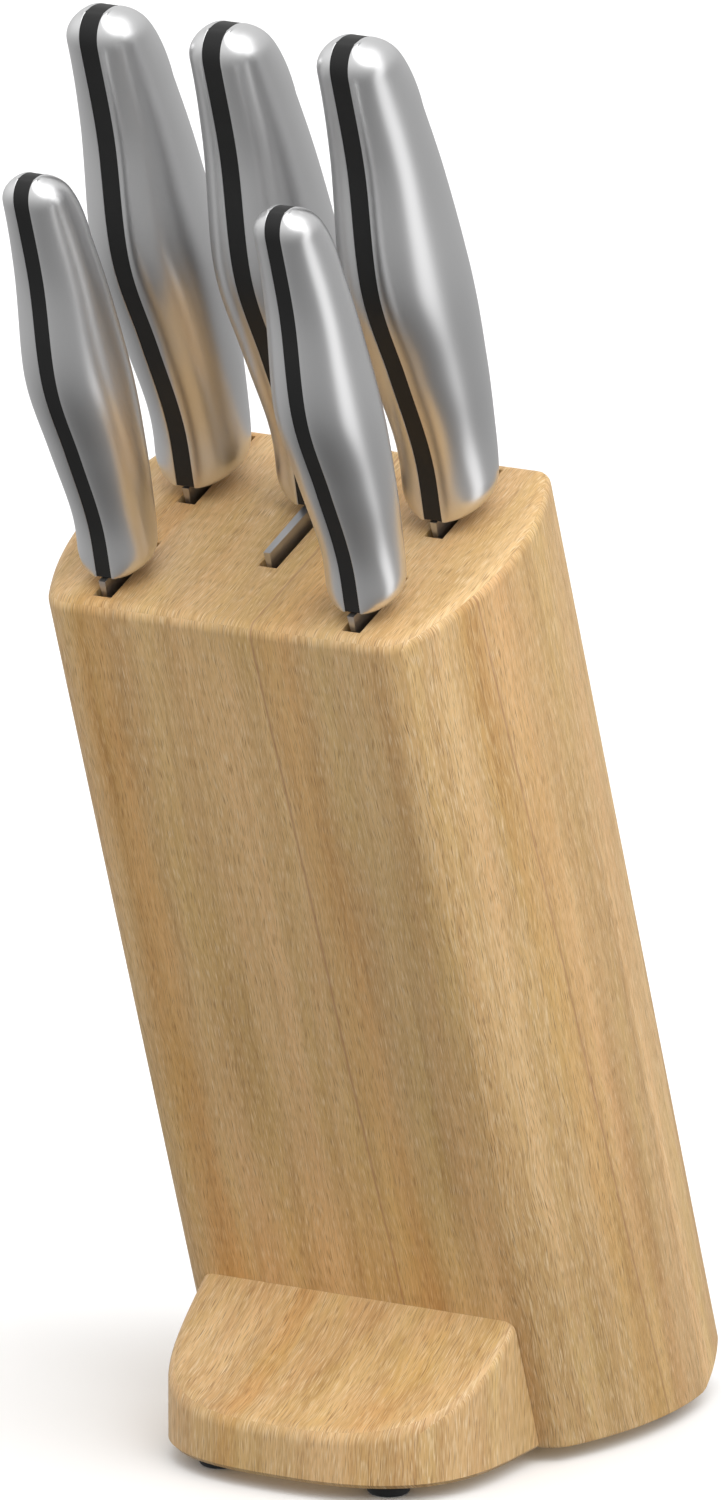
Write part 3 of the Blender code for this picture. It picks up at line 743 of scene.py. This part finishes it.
pads = {
    "radius": 0.005,
    "height": 0.0033,
    "lowerRound": (0.0010, 0.0012),  # inwards and upwards
    "roundSteps": 5,
    "ease": 0.0002,
    "recess": 0.0032,
    "recessDepth": 0.0022,
    "coneTop": 0.0028,
    "hole": 0.0015,
    "steps": 48,
    "places": {
        "front_left": (-0.022, -0.02247), "front_right": (0.022, -0.02247),
        "rear_left": (-0.042, 0.06033), "rear_right": (0.042, 0.06033),
    },
}
screws = {
    "length": 0.011,
    "shankRadius": 0.0012,
    "coreShare": 0.72,  # of the shank, between the thread's ridges
    "tip": ((0.0, 0.0), (0.0005, 0.0006)),  # radius, and how far below the point
    "threadFrom": 0.0014,
    "threadTo": 0.0040,
    "pitch": 0.0007,
    "crest": 0.00030,
    "root": 0.00055,
    "neck": (0.0034, 0.0028),
    "head": ((0.0026, 0.0016), (0.0026, 0.0012), (0.0024, 0.0010), (0.0, 0.0009)),
    "steps": 32,
}


def makePad(place, centre):
    outer, top, ease = pads["radius"], pads["height"], pads["ease"]
    recess, depth = pads["recess"], pads["recessDepth"]
    inward, rise = pads["lowerRound"]
    profile = [(outer - ease, top), (outer, top - ease), (outer, rise)]
    for step in range(1, pads["roundSteps"] + 1):
        angle = math.pi / 2 * step / pads["roundSteps"]
        profile.append((outer - inward * (1 - math.cos(angle)), rise * (1 - math.sin(angle))))
    profile += [(recess + ease, 0.0), (recess, ease), (recess, depth - ease), (recess - ease, depth)]
    profile += [(pads["hole"], pads["coneTop"]), (pads["hole"], top)]
    form = spunPiece(profile, centre, pads["steps"], closed=True)
    node = "rubber_foot_" + place
    finishPiece(form, node + "_pad", padRubber, "block", node)


def makeScrew(place, centre):
    shank, length = screws["shankRadius"], screws["length"]
    core = shank * screws["coreShare"]
    profile = [(radius, length - below) for radius, below in screws["tip"]]
    height = length - screws["threadFrom"]
    while height > screws["threadTo"]:  # one ridge of thread a turn
        profile += [(core, height), (shank, height - screws["crest"]), (core, height - screws["root"])]
        height -= screws["pitch"]
    profile += [(shank, height) for height in screws["neck"]]
    profile += screws["head"]
    form = spunPiece(profile, centre, screws["steps"], closed=False)
    node = "foot_screw_" + place
    finishPiece(form, node + "_steel", screwSteel, "block", node)


for place, centre in pads["places"].items():
    makePad(place, centre)
    makeScrew(place, centre)
print("rubber feet made")


# knives

handle = {
    "baseW": 0.0035,
    "length": 0.122,
    "belly": (
        (0.0, 0.0021), (0.015, 0.0031), (0.039, -0.0006), (0.063, -0.0048), (0.094, -0.0006), (0.116, 0.0),
    ),
    "spine": (
        (0.0, 0.0215), (0.015, 0.0247), (0.035, 0.0257), (0.060, 0.0257), (0.080, 0.0246), (0.100, 0.0217),
    ),
    "half": (
        (0.0, 0.0110), (0.015, 0.0108), (0.032, 0.0121), (0.056, 0.0132), (0.080, 0.0116), (0.116, 0.0088),
    ),
    "buttTop": 0.0055,
    "bellyRoundFrom": 0.1155,
    "spineRoundFrom": 0.0985,
    "sideRoundFrom": 0.115,
    "baseRound": 0.0055,
    "spineBaseCut": 0.0028,
    "baseNarrowing": 0.4,
    "roundness": 2.1,
    "baseSteps": 8,
    "bodySteps": 34,
    "buttSteps": 26,
    "sideSteps": 26,
    "least": 0.0004,  # half sizes of the hollow where it closes
    "leastSide": 0.0008,  # of the outer skin
    "sharpAngle": 50.0,
    "wall": 0.001,
    "coreWidth": 0.0045,
    "shellGap": 0.00003,
    "rimRounding": 0.0003,
    "coreSink": 0.00012,
}
large, small = (1.0, 1.0, 1.0083), (0.84, 0.78, 0.8465)  # handle sizes: across, from belly to spine, along
# u: the slot's place; corner: the handle's front at its base; heel and spine: the blade's edge and back
# there; tip: both of them at the point; curl and fall: the higher, the later they bend towards it
knives = {
    "bread_knife": {
        "u": -0.032, "corner": 0.0426, "size": large, "thick": 0.0022, "length": 0.200, "heel": 0.0445,
        "spine": 0.0680, "tip": (0.0595, 0.0660), "curl": 9.0, "fall": 7.0, "teeth": 26,
    },
    "chefs_knife": {
        "u": 0.0, "corner": 0.0417, "size": large, "thick": 0.0024, "length": 0.200, "heel": 0.0245,
        "spine": 0.0680, "tip": (0.0625, 0.0640), "curl": 2.8, "fall": 3.2, "teeth": 0,
    },
    "carving_knife": {
        "u": 0.032, "corner": 0.0426, "size": large, "thick": 0.0022, "length": 0.200, "heel": 0.0445,
        "spine": 0.0680, "tip": (0.0645, 0.0660), "curl": 4.5, "fall": 5.0, "teeth": 0,
    },
    "utility_knife": {
        "u": -0.032, "corner": 0.0046, "size": small, "thick": 0.0018, "length": 0.125, "heel": 0.0051,
        "spine": 0.0243, "tip": (0.0208, 0.0222), "curl": 3.0, "fall": 3.6, "teeth": 0,
    },
    "paring_knife": {
        "u": 0.032, "corner": 0.0046, "size": small, "thick": 0.0018, "length": 0.090, "heel": 0.0051,
        "spine": 0.0243, "tip": (0.0178, 0.0194), "curl": 2.6, "fall": 2.6, "teeth": 0,
    },
}


def smoothCurve(points, x):
    # a curve that runs smoothly through the points
    slopes = [(b[1] - a[1]) / (b[0] - a[0]) for a, b in zip(points, points[1:])]
    tangents = [slopes[0]] + [(a + b) / 2 for a, b in zip(slopes, slopes[1:])] + [slopes[-1]]
    i = 0
    while i < len(points) - 2 and x > points[i + 1][0]:
        i += 1
    step = points[i + 1][0] - points[i][0]
    z = (x - points[i][0]) / step
    value = (2 * z ** 3 - 3 * z ** 2 + 1) * points[i][1] + (3 * z ** 2 - 2 * z ** 3) * points[i + 1][1]
    return value + (z ** 3 - 2 * z ** 2 + z) * step * tangents[i] + (z ** 3 - z ** 2) * step * tangents[i + 1]


def quarter(x, start, end):
    # a quarter round: 1 up to the start, falling to 0 at the end
    z = min(max((x - start) / (end - start), 0.0), 1.0)
    return math.sqrt(1 - z ** 2)


def handleSection(height):
    length, base = handle["length"], handle["baseRound"]
    butt = handle["buttTop"]
    belly = smoothCurve(handle["belly"], min(height, handle["bellyRoundFrom"]))
    belly = butt - (butt - belly) * quarter(height, handle["bellyRoundFrom"], length)
    spine = smoothCurve(handle["spine"], min(height, handle["spineRoundFrom"]))
    spine = butt + (spine - butt) * quarter(height, handle["spineRoundFrom"], length)
    spine -= handle["spineBaseCut"] * (1 - quarter(2 * base - height, 0.0, 2 * base))
    half = smoothCurve(handle["half"], height) * quarter(height, handle["sideRoundFrom"], length)
    narrowing = handle["baseNarrowing"]
    return belly, spine, half * (1 - narrowing + narrowing * quarter(base - height, 0.0, base))


def handleSections(knife):
    across, back, along = knife["size"]
    baseSteps, bodySteps, buttSteps = handle["baseSteps"], handle["bodySteps"], handle["buttSteps"]
    start, bend, length = 2 * handle["baseRound"], handle["spineRoundFrom"], handle["length"]
    right = math.pi / 2
    heights = [start * (1 - math.cos(right * i / baseSteps)) for i in range(baseSteps + 1)]
    heights += [start + (bend - start) * i / bodySteps for i in range(1, bodySteps + 1)]
    heights += [bend + (length - bend) * math.sin(right * i / buttSteps) for i in range(1, buttSteps + 1)]
    heights[-1] -= 0.00002  # keeps the last row open
    sections = []
    for height in heights:
        belly, spine, half = handleSection(height)
        w = handle["baseW"] + along * height
        sections.append((w, knife["corner"] + back * belly, knife["corner"] + back * spine, across * half))
    return sections


def skinRow(section, low, high, sign, start, wall):
    # one open row round a side of the handle; wall moves it inwards
    w, belly, spine, half = section
    middle = (belly + spine) / 2
    depth = max((spine - belly) / 2 - wall, handle["least"] if wall else 0.0)
    reach = max(half - start - wall, handle["least"] if wall else handle["leastSide"])
    height = low + wall + (w - low) * (high - low - 2 * wall) / (high - low)
    power = 2 / handle["roundness"]
    row = []
    for step in range(handle["sideSteps"] + 1):
        angle = math.pi * (step / handle["sideSteps"] - 0.5)
        bulge = 0.0 if step in (0, handle["sideSteps"]) else abs(math.cos(angle)) ** power
        toSpine = math.copysign(abs(math.sin(angle)) ** power, angle)
        row.append((sign * (start + reach * bulge), middle + depth * toSpine, height))
    return row


def boundaryBesides(form, loops):
    return [edge for edge in form.edges if edge.is_boundary and edge not in sum(loops, [])]


def putInSlot(form, knife):
    place = leanPlace @ Matrix.Translation((knife["u"], 0, 0))
    bmesh.ops.transform(form, matrix=place, verts=form.verts)


def makeShell(name, knife, sections, sign, body, node):
    form = bmesh.new()
    start = knife["size"][0] * handle["coreWidth"] / 2 + handle["shellGap"]
    low, high = sections[0][0], sections[-1][0]
    rims = []
    for wall in (0.0, handle["wall"]):
        first = row = startRow(form, skinRow(sections[0], low, high, sign, start, wall))
        for section in sections[1:]:
            row = extendRow(form, row, skinRow(section, low, high, sign, start, wall))
        bmesh.ops.contextual_create(form, geom=first)
        bmesh.ops.contextual_create(form, geom=row)
        rims.append(boundaryBesides(form, rims))
    bmesh.ops.bridge_loops(form, edges=rims[0] + rims[1])
    bevelEdges(form, rims[0], handle["rimRounding"], 3)
    putInSlot(form, knife)
    finishPiece(form, name, handleSteel, body, node, handle["sharpAngle"])


def makeCore(name, knife, sections, body, node):
    form = bmesh.new()
    half = knife["size"][0] * handle["coreWidth"] / 2
    sink = handle["coreSink"]
    outline = [(-half, belly + sink, w) for w, belly, spine, _ in sections]
    outline += [(-half, spine - sink, w) for w, _, spine, _ in reversed(sections)]
    outline = [(u, v, min(max(w, sections[0][0] + sink), sections[-1][0] - sink)) for u, v, w in outline]
    left = startRow(form, outline, closed=True)
    right = extendRow(form, left, [(half, v, w) for _, v, w in outline], closed=True)
    for row in (left, right):
        bmesh.ops.edgeloop_fill(form, edges=rowEdges(form, row, closed=True))
    putInSlot(form, knife)
    finishPiece(form, name, coreBlack, body, node, handle["sharpAngle"])


blade = {
    "edgeThickness": 0.00035,
    "heelThickness": 0.0017,
    "heelLength": 0.010,  # the edge thins over this length
    "flatShare": 0.30,  # of the depth, from the spine, that keeps its full thickness
    "spineThinning": 0.4,  # share of the spine's thickness lost at the tip
    "spineEase": 0.86,
    "scallopDepth": 0.0012,
    "scallopSteps": 8,
    "teethFrom": 0.08,
    "teethSpan": 0.84,
    "stations": 60,
    "closeStations": (0.01, 0.03, 0.985, 0.992, 0.997),
    "rows": 12,
    "underHandle": 0.0003,
    "sharpAngle": 25.0,
    "tangSpan": (0.007, 0.017),  # from the handle's front corner
    "tangTop": 0.060,
}


def bladeShares(knife):
    # where the columns of points stand, as shares of the length
    shares = {i / blade["stations"] for i in range(blade["stations"] + 1)} | set(blade["closeStations"])
    if knife["teeth"]:
        start, span, count = blade["teethFrom"], blade["teethSpan"], knife["teeth"] * blade["scallopSteps"]
        shares = {share for share in shares if not start < share < start + span}
        shares |= {start + span * i / count for i in range(count + 1)}
    return sorted(shares)


def scallop(knife, share):
    place = (share - blade["teethFrom"]) / blade["teethSpan"]
    if not knife["teeth"] or not 0 <= place <= 1:
        return 0.0
    return blade["scallopDepth"] * math.sin(math.pi * ((place * knife["teeth"]) % 1.0))


def bladeColumn(knife, share, shoulder):
    # points (u, v, w) down one face at this share of the length, from the spine to the edge
    w = shoulder - knife["length"] * share
    edgeTip, spineTip = knife["tip"]
    edgeV = knife["heel"] + (edgeTip - knife["heel"]) * share ** knife["curl"] + scallop(knife, share)
    spineV = knife["spine"] + (spineTip - knife["spine"]) * share ** knife["fall"]
    spineHalf = knife["thick"] / 2 * (1 - blade["spineThinning"] * share)
    sharp = min(share * knife["length"] / blade["heelLength"], 1.0)
    edgeHalf = (blade["heelThickness"] + (blade["edgeThickness"] - blade["heelThickness"]) * sharp) / 2
    edgeHalf = min(edgeHalf, spineHalf)
    column = []
    for row in range(blade["rows"] + 1):
        depth = row / blade["rows"]
        ground = max((depth - blade["flatShare"]) / (1 - blade["flatShare"]), 0.0)
        half = spineHalf + (edgeHalf - spineHalf) * ground
        if row == 0:
            half *= blade["spineEase"]
        column.append((half, spineV + (edgeV - spineV) * depth, w))
    return column


def makeBlade(name, knife, body, node):
    form = bmesh.new()
    shoulder = handle["baseW"] - blade["underHandle"]
    _, back, along = knife["size"]
    oneSide = [bladeColumn(knife, share, shoulder) for share in bladeShares(knife)]
    loops = []
    for sign in (1, -1):
        columns = [[(sign * u, v, w) for u, v, w in column] for column in oneSide]
        row = startRow(form, columns[0])
        for column in columns[1:]:
            row = extendRow(form, row, column)
        loops.append(boundaryBesides(form, loops))
    bmesh.ops.bridge_loops(form, edges=loops[0] + loops[1])
    # the tang rises from the shoulder into the handle's core
    lowV, highV = (knife["corner"] + back * v for v in blade["tangSpan"])
    shoulderFaces = []
    for face in form.faces:
        flat = all(abs(vert.co.z - shoulder) < near for vert in face.verts)
        if flat and lowV < face.calc_center_median().y < highV:
            shoulderFaces.append(face)
    made = bmesh.ops.extrude_face_region(form, geom=shoulderFaces)["geom"]
    bmesh.ops.translate(form, verts=vertsOf(made), vec=(0, 0, along * blade["tangTop"]))
    bmesh.ops.delete(form, geom=shoulderFaces, context="FACES_ONLY")
    putInSlot(form, knife)
    finishPiece(form, name, bladeSteel, body, node, blade["sharpAngle"])


for name, knife in knives.items():
    sections = handleSections(knife)
    makeBlade(name + "_steel_blade", knife, name, name + "_blade")
    makeCore(name + "_black_core", knife, sections, name, name + "_core")
    makeShell(name + "_left_side", knife, sections, -1, name, name + "_left_shell")
    makeShell(name + "_right_side", knife, sections, 1, name, name + "_right_shell")
    print(name, "made")


# floor, light and camera

studio = {
    "floorTone": 0.98,
    "floorHalf": 8.0,
    # brightness all round by height, from straight down (-1) to straight up (1)
    "sky": (
        (-1.0, 0.10), (-0.87, 0.18), (-0.70, 0.28), (-0.50, 0.36), (-0.26, 0.45),
        (0.0, 0.62), (0.26, 0.78), (0.5, 0.84), (1.0, 0.80),
    ),
    "softbox": {"azimuth": 73.0, "elevation": 55.0, "inner": 20.0, "outer": 46.0, "strength": 1.56},
    "left": {"azimuth": -60.0, "share": 0.20},  # the surround is this much brighter there
    "strip": {
        "azimuth": 103.0, "inner": 8.0, "outer": 20.0, "strength": 0.88,
        "low": -0.70, "high": 0.6, "fade": 0.2,
    },
    "lamp": {"azimuth": 66.0, "elevation": 58.0, "width": 34.0, "strength": 0.25, "distance": 2.0},
}
view = {
    "azimuth": 29.8,
    "elevation": 14.74,
    "distance": 4.0025,
    "target": (0.03131, -0.0513, 0.18158),
    "lens": 431.99,
    "sensor": 36.0,
    "clipEnd": 50.0,
}


def direction(azimuth, elevation=0.0):
    # azimuth 0 is in front of the block, 90 at its right
    a, e = math.radians(azimuth), math.radians(elevation)
    return Vector((math.sin(a) * math.cos(e), -math.cos(a) * math.cos(e), math.sin(e)))


def makeFloor():
    form = bmesh.new()
    bmesh.ops.create_grid(form, x_segments=1, y_segments=1, size=studio["floorHalf"])
    mesh = bpy.data.meshes.new("floor")
    form.to_mesh(mesh)
    form.free()
    floor = bpy.data.objects.new("floor", mesh)
    bpy.context.scene.collection.objects.link(floor)
    material, _, shader = startMaterial("paleFloor")
    tone = studio["floorTone"]
    shader.inputs["Base Color"].default_value = (tone, tone, tone, 1.0)
    shader.inputs["Roughness"].default_value = 0.8
    shader.inputs["Specular IOR Level"].default_value = 0.1
    mesh.materials.append(material)
    # the floor shows the object's soft shadow, and the surround alone lights the object
    floor.visible_diffuse = floor.visible_glossy = floor.visible_shadow = False


def makeLamp():
    # one far, broad disc of light
    lamp = studio["lamp"]
    data = bpy.data.lights.new("lamp", "SUN")
    data.energy, data.angle = lamp["strength"], math.radians(lamp["width"])
    light = bpy.data.objects.new("lamp", data)
    away = direction(lamp["azimuth"], lamp["elevation"])
    light.location = away * lamp["distance"]
    light.rotation_euler = (-away).to_track_quat("-Z", "Y").to_euler()
    bpy.context.scene.collection.objects.link(light)


def makeSurround():
    # soft light from all round, brighter above, with a broad softbox and an upright strip to the right
    world = bpy.data.worlds.new("studio")
    world.use_nodes = True
    tree = world.node_tree
    toward = addNode(tree, "ShaderNodeTexCoord").outputs["Generated"]
    height = splitAxes(tree, toward)[2]
    stops = [((z + 1) / 2, tone) for z, tone in studio["sky"]]
    light = splitAxes(tree, rampNode(tree, maths(tree, "MULTIPLY_ADD", height, 0.5, 0.5), stops))[0]
    left = studio["left"]
    leftward = vectorMaths(tree, "DOT_PRODUCT", toward, direction(left["azimuth"]))
    light = maths(tree, "MULTIPLY", light, maths(tree, "MULTIPLY_ADD", leftward, left["share"], 1.0))
    box = studio["softbox"]
    toBox = vectorMaths(tree, "DOT_PRODUCT", toward, direction(box["azimuth"], box["elevation"]))
    cosines = [math.cos(math.radians(box[edge])) for edge in ("outer", "inner")]
    light = maths(tree, "ADD", light, rangeNode(tree, toBox, *cosines, 0.0, box["strength"]))
    strip = studio["strip"]
    ahead = direction(strip["azimuth"])
    aside = maths(tree, "ABSOLUTE", vectorMaths(tree, "DOT_PRODUCT", toward, (ahead.y, -ahead.x, 0.0)))
    sines = [math.sin(math.radians(strip[edge])) for edge in ("inner", "outer")]
    glow = rangeNode(tree, aside, *sines, strip["strength"], 0.0)
    for mask in (
        maths(tree, "GREATER_THAN", vectorMaths(tree, "DOT_PRODUCT", toward, ahead), 0.0),
        rangeNode(tree, height, strip["low"], strip["low"] + strip["fade"]),
        rangeNode(tree, height, strip["high"] - strip["fade"], strip["high"], 1.0, 0.0),
    ):
        glow = maths(tree, "MULTIPLY", glow, mask)
    light = maths(tree, "ADD", light, glow)
    # what the camera sees past the object is plain white
    seen = addNode(tree, "ShaderNodeLightPath").outputs["Is Camera Ray"]
    light = mixValue(tree, seen, light, 1.0)
    tree.links.new(light, tree.nodes["Background"].inputs["Strength"])
    tree.nodes["Background"].inputs["Color"].default_value = (1.0, 1.0, 1.0, 1.0)
    bpy.context.scene.world = world


def makeCamera():
    data = bpy.data.cameras.new("camera")
    data.lens, data.sensor_width, data.clip_end = view["lens"], view["sensor"], view["clipEnd"]
    camera = bpy.data.objects.new("camera", data)
    away = direction(view["azimuth"], view["elevation"])
    camera.location = Vector(view["target"]) + away * view["distance"]
    camera.rotation_euler = (-away).to_track_quat("-Z", "Y").to_euler()
    bpy.context.scene.collection.objects.link(camera)
    bpy.context.scene.camera = camera


makeFloor()
makeLamp()
makeSurround()
makeCamera()
bpy.context.scene.view_settings.view_transform = "Standard"
print("studio made")
